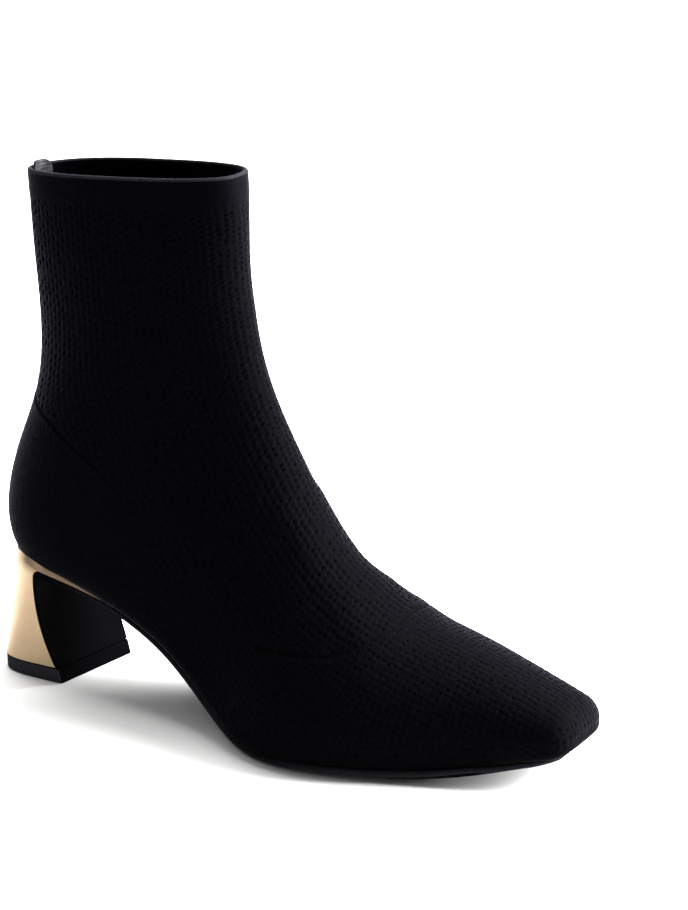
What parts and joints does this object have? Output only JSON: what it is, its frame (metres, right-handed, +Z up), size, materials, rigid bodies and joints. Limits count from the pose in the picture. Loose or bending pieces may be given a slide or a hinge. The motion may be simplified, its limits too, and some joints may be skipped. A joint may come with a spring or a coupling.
{
  "type": "elastic ankle boot",
  "caption": "Pull-on knitted ankle boot for the right foot, with a square toe, a thin sole and a flared, gold-plated block heel.",
  "frame": {"origin": "middle of the bounding box, on the floor that the boot stands on", "axes": "+X towards the toe, +Y towards the wearer's left, +Z up"},
  "size_m": [0.2537, 0.0891, 0.2082],
  "materials": {
    "knit": "matt waffle knit",
    "insole_cover": "matt",
    "sole_rubber": "satin",
    "heel_plating": "satin gold plating",
    "top_piece_rubber": "satin",
    "tab_tape": "woven tape"
  },
  "bodies": {
    "root": {"upper": "knit", "insole": "insole_cover", "outsole": "sole_rubber", "heel_block": "heel_plating", "heel_top_piece": "top_piece_rubber", "back_tab": "tab_tape"}
  },
  "joints": []
}
